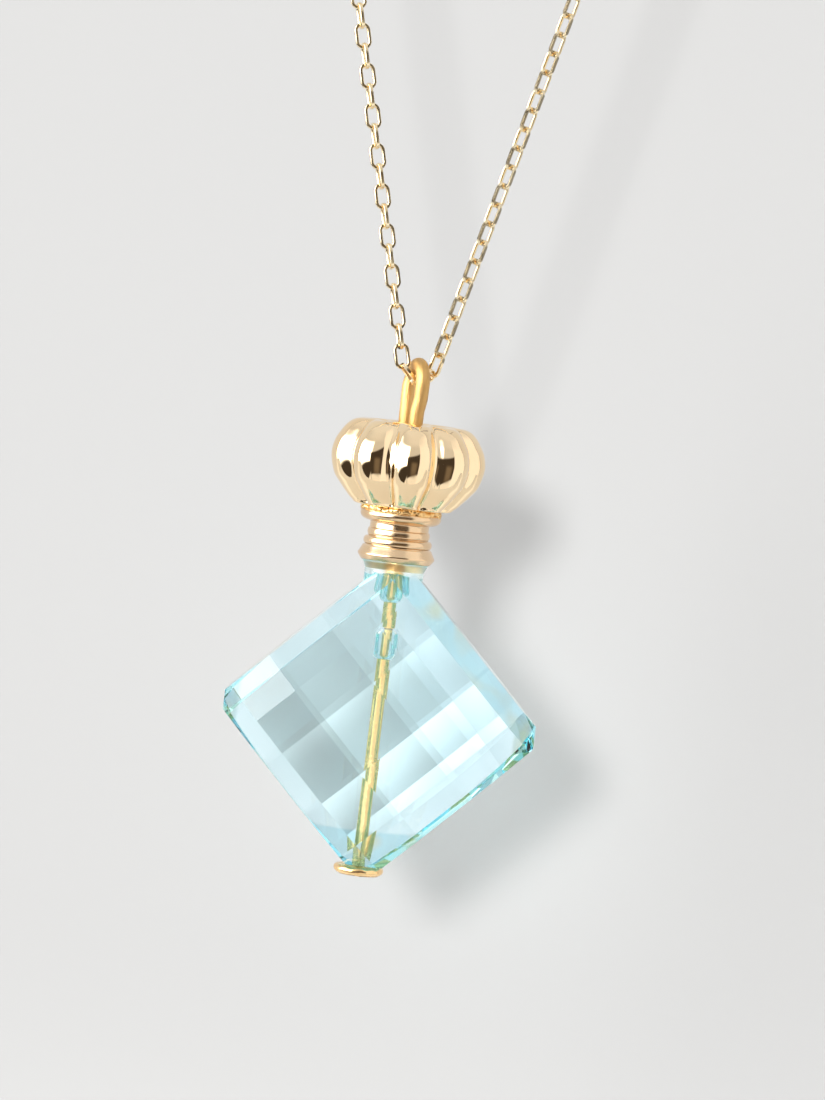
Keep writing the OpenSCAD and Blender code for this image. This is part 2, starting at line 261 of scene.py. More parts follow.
# Polished golds: [lighter colour, deeper colour, least and most roughness, depth of the hairline
# scratches, depth of the grain, scale of the scratches]
FINE_HAIRS = (9000, 9000, 700)
TURNED_HAIRS = (500, 500, 14000)
GOLDS = {
    "chain_gold": (
        (0.98, 0.84, 0.58), (0.93, 0.75, 0.46), (0.17, 0.25), 0.002, 0.002, FINE_HAIRS
    ),
    "pale_gold": (
        (1.0, 0.79, 0.51), (0.97, 0.735, 0.455), (0.03, 0.08), 0.0006, 0.0006, FINE_HAIRS
    ),
    "turned_gold": (
        (0.86, 0.64, 0.41), (0.80, 0.56, 0.33), (0.17, 0.25), 0.003, 0.004, TURNED_HAIRS
    ),
    "solder_gold": (
        (0.98, 0.68, 0.33), (0.88, 0.55, 0.22), (0.22, 0.36), 0.003, 0.006, FINE_HAIRS
    ),
}
CLOUD_SCALE, SMUDGE_SCALE, GRAIN_SCALE = 420, 900, 2600
# The noise values between which two colours or two kinds of gloss blend
NOISE_RANGE = (0.3, 0.7)
# Under the crown its gold has grains of solder, up to a height above its foot
SOLDERED_H, SOLDERED_FADE = 0.25, 0.15
SOLDERED_SCALE, SOLDERED_DEPTH = 2400, 0.04

# The bail's satin gold: its colours, the streaks' and the broad marks' scales along the wire,
# and their depths and strengths
SATIN_COLOURS = ((0.72, 0.46, 0.19), (0.62, 0.38, 0.13))
SATIN_ROUGHNESS = (0.42, 0.58)
STREAK_SCALE, STREAK_DEPTH, STREAK_STRENGTH = (7, 7, 0.7), 0.05, 0.8
BROAD_SCALE, BROAD_DEPTH, BROAD_STRENGTH = (2.2, 2.2, 0.5), 0.08, 0.6

# The pin's gold: its colours, the drawing marks' and the dents' scales and depths
PIN_COLOURS = ((1.0, 0.72, 0.37), (0.98, 0.64, 0.29))
PIN_ROUGHNESS = (0.12, 0.3)
DRAWN_SCALE, DRAWN_DEPTH = (5000, 5000, 300), 0.003
DENT_SCALE, DENT_DEPTH = 1700, 0.02

# Camera
PHOTO_LEAN = math.radians(6.9)
CAMERA_TARGET = Vector((0.98, 0.0, -195.1))
CAMERA_DISTANCE = 286.5
CAMERA_RISE = math.radians(3)
CAMERA_LENS = 150
CAMERA_SENSOR = 36
CAMERA_CLIP_M = (0.01, 20)

# Stage
BACKDROP_Y = 46
BACKDROP_TOP = 170
FLOOR_DROP = 90
STAGE_HALF = 420
FLOOR_FRONT = -70
COVE_R = 40
COVE_STEPS = 16
BACKDROP_PAPER = (0.363, 0.362, 0.360)
FLOOR_PAPER = (0.54, 0.54, 0.53)
# The stone's shadow as seen through the stone: its middle on the backdrop, where it starts to
# fade and ends, and the paper's two colours, in patches, in it and round it
SHADE_AT = (2.2, BACKDROP_Y, -207.5)
SHADE_R = (0, 9)
SHADE_PAPERS = ((0.34, 0.33, 0.325), (0.365, 0.35, 0.345))
LIT_PAPERS = ((0.375, 0.38, 0.39), (0.475, 0.465, 0.47))
PATCH_SCALE = 75
PATCH_NOISE = (0.4, 0.6)
# The light gathered beside that shadow
GLOW_AT = (-4.5, BACKDROP_Y, -204.5)
GLOW_R = (2, 12)
GLOW_PAPER = (0.80, 0.80, 0.81)

# Two dark strips beside the right strand, which only reflections show, as a photographer's
# flags: how far they stand off, their half width and their ends above the swing axis
FLAG_OFF = 3.0
FLAG_HALF = 0.45
FLAG_Z = (1.2, 45)
FLAG_GREY = (0.10, 0.105, 0.115)

# The soft light on the paper: its place from the camera's target, its side, its brightness
KEY_OFFSET = Vector((-72, -560, 72))
KEY_SIDE = 45
KEY_RADIANCE = 460

# The studio round the pendant: [azimuths, elevations, degrees of elevation per degree of azimuth,
# width of the soft edge, radiance], in degrees, where azimuth 0 is towards the camera and the
# right of the photo is positive; later ones cover earlier ones
STUDIO = (
    ((-180, 180), (-90, -25), 0.0, 8, (1.0, 0.985, 0.96)),
    ((-99, -25), (-10, 46), 0.12, 16, (6.0, 6.0, 6.0)),
    ((-112, -20), (-62, -12), 0.15, 5, (0.055, 0.043, 0.032)),
    ((-26, 39), (-36, 19), 0.15, 5, (0.060, 0.046, 0.034)),
    ((-2, 26), (-34, -2), 0.0, 18, (0.20, 0.155, 0.11)),
    ((-112, -22), (-90, -16), 0.86, 6, (1.0, 0.985, 0.96)),
    ((38, 130), (-50, 60), 0.0, 4, (1.12, 1.10, 1.08)),
    ((-180, 180), (52, 90), 0.0, 24, (0.86, 0.86, 0.86)),
)
ROOM = (0.70, 0.70, 0.70)
# What the camera sees of the room past the paper
PALE_ROOM = (0.83, 0.83, 0.83)
# The light inside the stone comes from a plain warm room with this share of the studio in it
STONE_ROOM = (1.5, 1.22, 1.08)
STONE_SHARE = 0.13
BOUNCES = 20
CLEAR_BOUNCES = 16


# Shared shapes

def new_piece(name, points, faces, body=None, stands_for=()):
    """A smooth mesh object from millimetre points, riding on a body."""
    mesh = bpy.data.meshes.new(name)
    mesh.from_pydata([Vector(p) * MM for p in points], [], faces)
    mesh.polygons.foreach_set("use_smooth", [True] * len(mesh.polygons))
    mesh.validate()
    piece = bpy.data.objects.new(name, mesh)
    bpy.context.scene.collection.objects.link(piece)
    if body:
        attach(piece, body)
    if stands_for:
        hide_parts(*stands_for)
    return piece


def polar(r, a, z):
    """The place at radius r and angle a about Z, at height z."""
    return Vector((r * math.cos(a), r * math.sin(a), z))


def share(value, start, end):
    """How far a value lies on the way from start to end, kept between 0 and 1."""
    return min(1, max(0, (value - start) / (end - start)))


def ring_faces(rings, around, closed=False):
    """Quads between rings of points; with closed, the last ring meets the first."""
    faces = []
    for k in range(rings if closed else rings - 1):
        this, following = k * around, (k + 1) % rings * around
        for j in range(around):
            beside = (j + 1) % around
            faces.append((this + j, this + beside, following + beside, following + j))
    return faces


def lathe(profile, around, z0=0.0):
    """Points and faces of a closed profile of (radius, height) turned about Z, bore included."""
    points = [polar(r, math.tau * j / around, z0 + z) for r, z in profile for j in range(around)]
    return points, ring_faces(len(profile), around, closed=True)


def half_round(r_side, r_mid, high, low, steps):
    """A round bead on a turned profile, from height high down to low."""
    return [
        (
            r_side + (r_mid - r_side) * math.sin(math.pi * k / steps),
            (high + low) / 2 + (high - low) / 2 * math.cos(math.pi * k / steps),
        )
        for k in range(steps + 1)
    ]


def tube(path, radius, around):
    """Points and faces of a closed-ended tube along a path of points."""
    points, side = [], None
    for k, p in enumerate(path):
        along = (path[min(k + 1, len(path) - 1)] - path[max(k - 1, 0)]).normalized()
        if side is None:
            side = along.orthogonal().normalized()
        side = (side - along * side.dot(along)).normalized()
        up = along.cross(side)
        for j in range(around):
            a = math.tau * j / around
            points.append(p + radius * (math.cos(a) * side + math.sin(a) * up))
    faces = ring_faces(len(path), around)
    faces.append(tuple(range(around - 1, -1, -1)))
    faces.append(tuple((len(path) - 1) * around + j for j in range(around)))
    return points, faces


# Camera

def make_camera():
    data = bpy.data.cameras.new("camera")
    data.lens = CAMERA_LENS
    data.sensor_width = CAMERA_SENSOR
    data.clip_start, data.clip_end = CAMERA_CLIP_M
    camera = bpy.data.objects.new("camera", data)
    bpy.context.scene.collection.objects.link(camera)
    back = Vector((0, -math.cos(CAMERA_RISE), math.sin(CAMERA_RISE)))
    up = Vector((0, math.sin(CAMERA_RISE), math.cos(CAMERA_RISE)))
    right = Vector((1, 0, 0))
    turned_up = up * math.cos(PHOTO_LEAN) - right * math.sin(PHOTO_LEAN)
    turned_right = right * math.cos(PHOTO_LEAN) + up * math.sin(PHOTO_LEAN)
    place = Matrix((turned_right, turned_up, back)).transposed().to_4x4()
    place.translation = (CAMERA_TARGET + back * CAMERA_DISTANCE) * MM
    camera.matrix_world = place
    bpy.context.scene.camera = camera


# Chain

def hole_place(s, z):
    """A place at distance s from the pendant's line, in the plane that the bail's hole faces."""
    return polar(s, BAIL_TURN, z)


def lifted(s):
    """How far the chain rises in the hole, to carry the bail."""
    return BAIL_LIFT * math.exp(-(s / LIFT_REACH) ** 2)


def loop_place(side, a):
    return Vector((side * LOOP_R * math.cos(a), 0, -LOOP_R + LOOP_R * math.sin(a)))


def half_route(side):
    """The chain's middle line from the bail's hole to the clasp, on one side."""
    points = []
    for k in range(HOLE_STEPS):
        s = HOLE_HALF * k / HOLE_STEPS
        points.append(hole_place(side * s, SWING_Z + lifted(s)))
    for k in range(BEND_STEPS + 1):
        a = -math.pi / 2 + (math.pi / 2 - STRAND_LEAN) * k / BEND_STEPS
        s = HOLE_HALF + BEND_R * math.cos(a)
        points.append(hole_place(side * s, SWING_Z + BEND_R * (1 + math.sin(a)) + lifted(s)))
    foot, top = points[-1], loop_place(side, -STRAND_LEAN)
    points += [foot.lerp(top, k / STRAND_STEPS) for k in range(1, STRAND_STEPS)]
    sweep = math.pi / 2 + STRAND_LEAN - math.asin(CLASP_HIGH.x / LOOP_R)
    return points + [
        loop_place(side, -STRAND_LEAN + sweep * k / LOOP_STEPS) for k in range(LOOP_STEPS + 1)
    ]


def walk(route, start, pitch):
    """Joints along a route, each a straight pitch from the one before; and what is left over."""
    joints = [start]
    here = start
    k = 0
    while True:
        while k < len(route) and (route[k] - here).length < pitch:
            k += 1
        if k == len(route):
            return joints, (route[-1] - here).length
        a = route[k - 1] if k else here
        b = route[k]
        low, high = 0.0, 1.0
        for _ in range(HALVINGS):
            mid = (low + high) / 2
            if (a.lerp(b, mid) - here).length < pitch:
                low = mid
            else:
                high = mid
        here = a.lerp(b, high)
        joints.append(here)


def joints_to_clasp(side):
    """The joints of one strand, with the pitch that ends a link at the clasp."""
    route = half_route(side)
    start = hole_place(FIRST_JOINT, SWING_Z + lifted(FIRST_JOINT))
    count = len(walk(route, start, LINK_PITCH)[0])
    low, high = LINK_PITCH * (1 - PITCH_SLACK), LINK_PITCH * (1 + PITCH_SLACK)
    for _ in range(HALVINGS):
        pitch = (low + high) / 2
        joints, rest = walk(route, start, pitch)
        if len(joints) > count or (len(joints) == count and rest > END_GAP):
            low = pitch
        else:
            high = pitch
    return joints


def link_points():
    """One link in its own frame: X across, Y along, Z through the link's hole."""
    wire_r = LINK_WIRE / 2
    bend_r = LINK_W / 2 - wire_r
    straight = (LINK_PITCH + 2 * LINK_WIRE) / 2 - wire_r - bend_r
    points = []
    for end in (1, -1):
        for k in range(LINK_END_STEPS):
            bend = math.pi * (k + 0.5) / LINK_END_STEPS - math.pi / 2
            out = Vector((-end * math.sin(bend), end * math.cos(bend), 0))
            middle = out * bend_r + Vector((0, end * straight, 0))
            for angle in LINK_SECTION:
                a = math.radians(angle)
                rise = Vector((0, 0, wire_r * math.sin(a)))
                points.append(middle + out * (wire_r * math.cos(a)) + rise)
    return points


def make_chain():
    left, right = joints_to_clasp(-1), joints_to_clasp(1)
    joints = list(reversed(left)) + right[1:]
    middle = len(left) - 1
    pattern = link_points()
    around = len(LINK_SECTION)
    rings = len(pattern) // around
    pattern_faces = ring_faces(rings, around, closed=True)
    facing = Vector((0, -1, 0))
    points, faces, sharp = [], [], set()
    for i, (a, b) in enumerate(zip(joints, joints[1:])):
        centre = (a + b) / 2
        along = (b - a).normalized()
        near = LEFT_TWIST if i < middle else RIGHT_TWIST
        twist = near + (FAR_TWIST - near) * share((a.z + b.z) / 2, *TWIST_Z)
        quarter = math.pi / 2 * ((i - middle) % 2)
        through = (facing - along * facing.dot(along)).normalized()
        through = Matrix.Rotation(twist + quarter, 3, along) @ through
        across = along.cross(through)
        start = len(points)
        points += [centre + across * p.x + along * p.y + through * p.z for p in pattern]
        faces += [tuple(start + v for v in face) for face in pattern_faces]
        for k in range(rings):
            this, following = start + k * around, start + (k + 1) % rings * around
            sharp |= {tuple(sorted((this + c, following + c))) for c in LINK_CREASES}
    piece = new_piece(
        "chain_links", points, faces, body="neck_chain", stands_for=("chain",)
    )
    marks = piece.data.attributes.new("sharp_edge", "BOOLEAN", "EDGE")
    marks.data.foreach_set(
        "value", [tuple(sorted(edge.vertices)) in sharp for edge in piece.data.edges]
    )
    return piece


# Bail and pin

def bail_path():
    """The wire's middle line in the bail's plane, from the stem up one leg, over and down."""
    sweep = math.pi + 2 * LEG_LEAN
    arc = []
    for k in range(ARC_STEPS + 1):
        a = -LEG_LEAN + sweep * k / ARC_STEPS
        arc.append((BAIL_R * math.cos(a), BAIL_R * math.sin(a)))
    top_q, top_z = arc[-1]
    foot = -BAIL_FOOT - LEG_ROOT
    down = []
    for k in range(1, LEG_STEPS + 1):
        z = top_z + (foot - top_z) * k / LEG_STEPS
        down.append((top_q + (top_z - z) * math.tan(LEG_LEAN), z))
    up = [(-q, z) for q, z in reversed(down)]
    return up + arc + down


def bail_place(q, z):
    """A place in the bail's plane: q across, z above the swing axis."""
    return Vector((-q * math.sin(BAIL_TURN), q * math.cos(BAIL_TURN), SWING_Z + z))


def bowed_place(q, z):
    """The same for the bent wire, which leaves the bail's plane a little."""
    t = share(z, *(BOW_Z[0] if q > 0 else BOW_Z[1]))
    return bail_place(q, z) - Vector((BAIL_BOW * t * t * (3 - 2 * t), 0, 0))


def make_one_skin(piece):
    """Turns the piece into one skin, with its joints filled as by solder."""
    remesh = piece.modifiers.new("remesh", "REMESH")
    remesh.mode = "VOXEL"
    remesh.voxel_size = SKIN_VOXEL * MM
    remesh.use_smooth_shade = True
    smooth = piece.modifiers.new("smooth", "SMOOTH")
    smooth.factor, smooth.iterations = SKIN_SMOOTHING
    graph = bpy.context.evaluated_depsgraph_get()
    mesh = bpy.data.meshes.new_from_object(piece.evaluated_get(graph))
    piece.modifiers.clear()
    piece.data = mesh


def add_wire_coordinates(piece, path):
    """Stores, for each point, how far along the wire it lies and which way round."""
    lengths = [0.0]
    for a, b in zip(path, path[1:]):
        lengths.append(lengths[-1] + (b - a).length)
    values = []
    for vertex in piece.data.vertices:
        p = vertex.co / MM
        k = min(range(len(path)), key=lambda i: (path[i] - p).length_squared)
        a, b = path[max(k - 1, 0)], path[min(k + 1, len(path) - 1)]
        along = (b - a).normalized()
        rest = p - path[k]
        out = rest - along * rest.dot(along)
        values += [out.x, out.y, lengths[k] + rest.dot(along)]
    marks = piece.data.attributes.new("wire", "FLOAT_VECTOR", "POINT")
    marks.data.foreach_set("vector", values)


def make_bail():
    path = [bowed_place(q, z) for q, z in bail_path()]
    points, faces = tube(path, WIRE_D / 2, WIRE_SIDES)
    stem = [bail_place(0, -BAIL_FOOT - STEM_LEN), bail_place(0, -BAIL_FOOT)]
    stem_points, stem_faces = tube(stem, STEM_D / 2, WIRE_SIDES)
    faces += [tuple(len(points) + v for v in face) for face in stem_faces]
    bail = new_piece(
        "bail", points + stem_points, faces, body="pendant",
        stands_for=("bail_pin",)
    )
    make_one_skin(bail)
    add_wire_coordinates(bail, path)
    return bail


def pin_profile():
    """The pin's half section as (radius, height), from the stem down to the head's lower face."""
    low, pin_r = PIN_LOW.z, PIN_D / 2
    head_top = low + HEAD_H
    stem_low = SWING_Z - BAIL_FOOT - STEM_LEN
    head = half_round(
        HEAD_D / 2 - HEAD_H / 2, HEAD_D / 2, head_top - HEAD_EDGE, low + HEAD_FOOT, HEAD_STEPS
    )
    shaft = [
        (pin_r, stem_low + (head_top - stem_low) * k / SHAFT_STEPS) for k in range(SHAFT_STEPS + 1)
    ]
    top_face = [
        (pin_r + (head[0][0] - pin_r) * k / FACE_STEPS, head_top) for k in range(1, FACE_STEPS)
    ]
    low_face = [(head[-1][0] * (1 - k / FACE_STEPS), low) for k in range(FACE_STEPS)]
    return [(POINT_R, stem_low)] + shaft + top_face + head + low_face + [(POINT_R, low)]


def hammered(p, a):
    """Moves a point of the head, at angle a, into its dents."""
    dent = RIM_DENT * (1 + noise.noise(p * RIM_DENT_SCALE + DENT_SHIFT))
    p.x -= dent * math.cos(a)
    p.y -= dent * math.sin(a)
    on_top = p.z >= PIN_LOW.z + HEAD_H - TOP_FACE_H
    p.z += FACE_DENT * noise.noise(p * FACE_DENT_SCALE) * (TOP_FACE_SHARE if on_top else 1)
    p.z = max(p.z, PIN_LOW.z)
    return p


def make_pin():
    profile = pin_profile()
    head_top = PIN_LOW.z + HEAD_H
    points = []
    for r, z in profile:
        for j in range(PIN_SIDES):
            a = math.tau * j / PIN_SIDES
            p = polar(r, a, z)
            in_head = z < head_top + TOLERANCE and r > PIN_D / 2 + SHAFT_CLEAR
            points.append(hammered(p, a) if in_head else p)
    faces = ring_faces(len(profile), PIN_SIDES)
    faces.append(tuple(range(PIN_SIDES)))
    last = (len(profile) - 1) * PIN_SIDES
    faces.append(tuple(last + j for j in range(PIN_SIDES - 1, -1, -1)))
    return new_piece(
        "pin", points, faces, body="pendant", stands_for=("bail_pin",)
    )


# Crown

def smooth_rows(rows, steps):
    """Rows on a smooth curve through the given ones, from the first to the last but one."""
    out = []
    last = len(rows) - 1
    for k in range(last - 1):
        a, b, c, d = rows[max(k - 1, 0)], rows[k], rows[k + 1], rows[min(k + 2, last)]
        for j in range(steps):
            t = j / steps
            out.append(tuple(
                0.5 * (2 * q + (r - p) * t + (2 * p - 5 * q + 4 * r - s) * t * t
                       + (3 * q - p - 3 * r + s) * t ** 3)
                for p, q, r, s in zip(a, b, c, d)
            ))
    return out + [rows[last - 1]]


def arc_fall(t):
    """How far a lobe's round back has fallen at t, a share of its half width."""
    axis = CROWN_R - LOBE_R
    a = t * math.pi / LOBES
    return CROWN_R - axis * math.cos(a) - math.sqrt(LOBE_R ** 2 - (axis * math.sin(a)) ** 2)


def groove(t):
    """Depth below the lobe's top at t, from 0 on the lobe to 1 at the bottom of the groove."""
    if t < LOBE_EDGE:
        return arc_fall(t)
    step = 0.01
    edge = arc_fall(LOBE_EDGE)
    slope = (edge - arc_fall(LOBE_EDGE - step)) / step
    past = t - LOBE_EDGE
    return edge + slope * (past - past * past / (2 - 2 * LOBE_EDGE))


def make_crown():
    bore = STEM_D / 2 + BORE_GAP
    rows = [row for row in smooth_rows(CROWN_ROWS, ROW_STEPS) if row[0] * CROWN_R > bore]
    top, low = rows[0][1], rows[-1][1]
    wall = [
        (bore / CROWN_R, low + (top - low) * k / WALL_STEPS, 0.0) for k in range(WALL_STEPS + 1)
    ]
    around = LOBES * LOBE_STEPS
    points = []
    for radius, depth, lobed in wall + rows:
        for j in range(around):
            t = 1 - abs(1 - 2 * ((j / LOBE_STEPS) % 1))
            a = -math.pi / 2 + LOBE_TURN + math.tau * j / around
            r = CROWN_R * radius - lobed * groove(t)
            points.append(polar(r, a, CROWN_HIGH.z - CROWN_H * depth))
    faces = ring_faces(len(wall) + len(rows), around, closed=True)
    return new_piece(
        "crown_lobes", points, faces, body="pendant", stands_for=("crown",)
    )


# Collar and solder

def collar_profile():
    """The turned section, from the bore's top outwards and round to the bore's foot."""
    def ring(r_side, r_mid, high, low, steps):
        return half_round(
            r_side * COLLAR_R, r_mid * COLLAR_R, -high * RINGS_H, -low * RINGS_H, steps
        )

    outside = ring(*COLLAR_BEAD) + [(r * COLLAR_R, -z * RINGS_H) for r, z in COLLAR_GROOVE]
    for row in COLLAR_RINGS:
        outside += ring(*row)
    outside += [(r * COLLAR_R, -RINGS_H - z * LIP_H) for r, z in COLLAR_LIP]
    roof, bore = -COLLAR_H + SOCKET_DEPTH, PIN_D / 2 + BORE_GAP
    return outside + [
        (SOCKET_R + SOCKET_EDGE, -COLLAR_H),
        (SOCKET_R, -COLLAR_H + SOCKET_EDGE),
        (SOCKET_R, roof - SOCKET_EDGE),
        (SOCKET_R - SOCKET_EDGE, roof),
        (bore, roof),
        (bore, 0),
    ]


def make_collar():
    points, faces = lathe(collar_profile(), COLLAR_SIDES, z0=COLLAR_HIGH.z)
    return new_piece(
        "collar_turned", points, faces, body="pendant", stands_for=("collar",)
    )


def make_solder():
    centre = Vector((0, 0, COLLAR_HIGH.z - SOLDER_DROP))
    points = []
    for k in range(SOLDER_AROUND):
        a = math.tau * k / SOLDER_AROUND
        for j in range(SOLDER_SIDES):
            b = math.tau * j / SOLDER_SIDES
            out = polar(math.cos(b), a, math.sin(b))
            p = polar(SOLDER_RING_R, a, 0) + SOLDER_R * out
            broad, fine = (noise.noise(p * scale) for scale in SOLDER_SCALES)
            points.append(p + SOLDER_LUMPS * (broad + SOLDER_FINE_SHARE * fine) * out + centre)
    return new_piece(
        "collar_solder", points, ring_faces(SOLDER_AROUND, SOLDER_SIDES, closed=True),
        body="pendant"
    )


# Stone

def bubble_profile(low, high):
    """The closed section of a bubble round the pin, with round ends."""
    inner = PIN_D / 2 - PIN_LAP
    top = []
    for k in range(BUBBLE_STEPS + 1):
        a = math.pi / 2 * k / BUBBLE_STEPS
        top.append((
            inner + (BUBBLE_R - inner) * math.sin(a),
            high - BUBBLE_ROUND + BUBBLE_ROUND * math.cos(a),
        ))
    return top + [(r, low + high - z) for r, z in reversed(top)]


def all_within(face, radius):
    """Whether a face lies within a radius of the pin's line."""
    return all(math.hypot(v.co.x, v.co.y) < radius * MM for v in face.verts)


def make_stone():
    """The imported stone's own facets, with its bore closed by clear cement round the pin."""
    mesh = frame["nodes"]["stone"].data.copy()
    mesh.name = "stone_cut"
    cut = bmesh.new()
    cut.from_mesh(mesh)
    bmesh.ops.remove_doubles(cut, verts=cut.verts, dist=TOLERANCE * MM)
    wall = [
        face for face in cut.faces
        if all_within(face, BORE_R + BORE_SLACK) and abs(face.normal.z) < WALL_MAX_NORMAL_Z
    ]
    bmesh.ops.delete(cut, geom=wall, context="FACES")
    bmesh.ops.holes_fill(cut, edges=[edge for edge in cut.edges if edge.is_boundary])
    bmesh.ops.recalc_face_normals(cut, faces=cut.faces)
    for low, high in BUBBLES:
        points, faces = lathe(bubble_profile(low, high), BUBBLE_SIDES)
        verts = [cut.verts.new(p * MM) for p in points]
        made = [cut.faces.new([verts[v] for v in face]) for face in faces]
        bmesh.ops.recalc_face_normals(cut, faces=made)
        bmesh.ops.reverse_faces(cut, faces=made)
    for face in cut.faces:
        face.smooth = all_within(face, ROUND_R)
    for edge in cut.edges:
        edge.smooth = edge.calc_face_angle(0) < CREASE
    cut.to_mesh(mesh)
    cut.free()
    piece = bpy.data.objects.new("stone_cut", mesh)
    bpy.context.scene.collection.objects.link(piece)
    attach(piece, "pendant")
    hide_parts("stone")
    return piece


# Shader nodes

def new_material(name):
    material = bpy.data.materials.new(name)
    material.use_nodes = True
    tree = material.node_tree
    tree.nodes.clear()
    return material, tree


def feed(tree, socket, value):
    """Links a socket to another one, or sets it to a plain value."""
    if isinstance(value, bpy.types.NodeSocket):
        tree.links.new(value, socket)
    else:
        socket.default_value = value


def add_node(tree, kind, **settings):
    """A node, with its inputs set from names such as Base_Color and links from sockets."""
    made = tree.nodes.new(kind)
    for name, value in settings.items():
        key = name.replace("_", " ")
        if key in made.inputs:
            feed(tree, made.inputs[key], value)
        else:
            setattr(made, name, value)
    return made


def math_value(tree, operation, *values):
    made = add_node(tree, "ShaderNodeMath", operation=operation)
    for socket, value in zip(made.inputs, values):
        feed(tree, socket, value)
    return made.outputs[0]


def object_place(tree):
    return add_node(tree, "ShaderNodeTexCoord").outputs["Object"]


def ray_is(tree, kind):
    return add_node(tree, "ShaderNodeLightPath").outputs["Is %s Ray" % kind]


def distance_to(tree, vector, point):
    """How far a place lies from a point given in millimetres, in metres."""
    made = add_node(tree, "ShaderNodeVectorMath", operation="DISTANCE", Vector=vector)
    made.inputs[1].default_value = Vector(point) * MM
    return made.outputs["Value"]


def stretched(tree, vector, scale):
    return add_node(tree, "ShaderNodeMapping", Vector=vector, Scale=scale).outputs["Vector"]


def noise_value(tree, vector, scale, detail, roughness=0.5):
    return add_node(
        tree, "ShaderNodeTexNoise", Vector=vector, Scale=scale, Detail=detail, Roughness=roughness
    ).outputs["Fac"]


def ramp(tree, value, low, high, between=NOISE_RANGE):
    """Maps a noise value onto the range from low to high."""
    start, end = between
    return add_node(
        tree, "ShaderNodeMapRange", Value=value, From_Min=start, From_Max=end, To_Min=low,
        To_Max=high
    ).outputs["Result"]


def edge_step(tree, value, low, high):
    """0 at low and 1 at high, smooth between."""
    return add_node(
        tree, "ShaderNodeMapRange", interpolation_type="SMOOTHSTEP", Value=value, From_Min=low,
        From_Max=high, To_Min=0.0, To_Max=1.0
    ).outputs["Result"]


def two_colours(tree, value, first, second):
    """A blend of two colours, each a tuple or a socket."""
    made = add_node(tree, "ShaderNodeMix", data_type="RGBA")
    feed(tree, made.inputs["Factor"], value)
    ends = [socket for socket in made.inputs if socket.type == "RGBA"]
    for socket, colour in zip(ends, (first, second)):
        is_socket = isinstance(colour, bpy.types.NodeSocket)
        feed(tree, socket, colour if is_socket else (*colour, 1))
    return next(socket for socket in made.outputs if socket.type == "RGBA")


def two_shaders(tree, value, first, second):
    made = tree.nodes.new("ShaderNodeMixShader")
    for socket, source in zip(made.inputs, (value, first.outputs[0], second.outputs[0])):
        tree.links.new(source, socket)
    return made


def bump(tree, height, distance, strength=1.0, normal=None):
    made = add_node(
        tree, "ShaderNodeBump", Height=height, Distance=distance * MM, Strength=strength
    )
    if normal:
        tree.links.new(normal, made.inputs["Normal"])
    return made.outputs["Normal"]


def finish_material(tree, shader, volume=None):
    out = add_node(tree, "ShaderNodeOutputMaterial", Surface=shader.outputs[0])
    if volume:
        tree.links.new(volume.outputs[0], out.inputs["Volume"])


def finish_metal(tree, colour, gloss, normal):
    finish_material(tree, add_node(
        tree, "ShaderNodeBsdfPrincipled", Base_Color=colour, Metallic=1.0, Roughness=gloss,
        Normal=normal
    ))


# Materials

def gold_material(name, solder_z=None):
    """Polished gold: two close colours, smudged gloss, hairline scratches and a faint grain;
    below the height solder_z it has the grain of solder."""
    light, deep, rough, scratch, grain, hair_scale = GOLDS[name]
    material, tree = new_material(name)
    place = object_place(tree)
    cloud = noise_value(tree, place, CLOUD_SCALE, 3)
    smudge = noise_value(tree, place, SMUDGE_SCALE, 4)
    hairs = noise_value(tree, stretched(tree, place, hair_scale), 1, 2)
    normal = bump(tree, hairs, scratch)
    normal = bump(tree, noise_value(tree, place, GRAIN_SCALE, 3), grain, normal=normal)
    if solder_z:
        height = add_node(tree, "ShaderNodeSeparateXYZ", Vector=place).outputs["Z"]
        low = edge_step(
            tree, height, (solder_z + SOLDERED_FADE) * MM, (solder_z - SOLDERED_FADE) * MM
        )
        grains = math_value(tree, "MULTIPLY", noise_value(tree, place, SOLDERED_SCALE, 2), low)
        normal = bump(tree, grains, SOLDERED_DEPTH, normal=normal)
    colour = two_colours(tree, ramp(tree, cloud, 0, 1), light, deep)
    finish_metal(tree, colour, ramp(tree, smudge, *rough), normal)
    return material


def satin_gold_material():
    """Yellow gold rubbed along the wire: streaks that follow it in colour, gloss and relief."""
    material, tree = new_material("satin_gold")
    wire = add_node(tree, "ShaderNodeAttribute", attribute_name="wire").outputs["Vector"]
    streak = noise_value(tree, stretched(tree, wire, STREAK_SCALE), 1, 5, 0.6)
    broad = noise_value(tree, stretched(tree, wire, BROAD_SCALE), 1, 3)
    normal = bump(tree, streak, STREAK_DEPTH, STREAK_STRENGTH)
    normal = bump(tree, broad, BROAD_DEPTH, BROAD_STRENGTH, normal=normal)
    colour = two_colours(tree, ramp(tree, streak, 0, 1), *SATIN_COLOURS)
    finish_metal(tree, colour, ramp(tree, broad, *SATIN_ROUGHNESS), normal)
    return material


def pin_gold_material():
    """The pin's yellow gold, drawn smooth on the shaft and hammered on the head."""
    material, tree = new_material("pin_gold")
    place = object_place(tree)
    drawn = noise_value(tree, stretched(tree, place, DRAWN_SCALE), 1, 3)
    dents = noise_value(tree, place, DENT_SCALE, 2)
    normal = bump(tree, drawn, DRAWN_DEPTH)
    normal = bump(tree, dents, DENT_DEPTH, normal=normal)
    colour = two_colours(tree, ramp(tree, drawn, 0, 1), *PIN_COLOURS)
    finish_metal(tree, colour, ramp(tree, dents, *PIN_ROUGHNESS), normal)
    return material


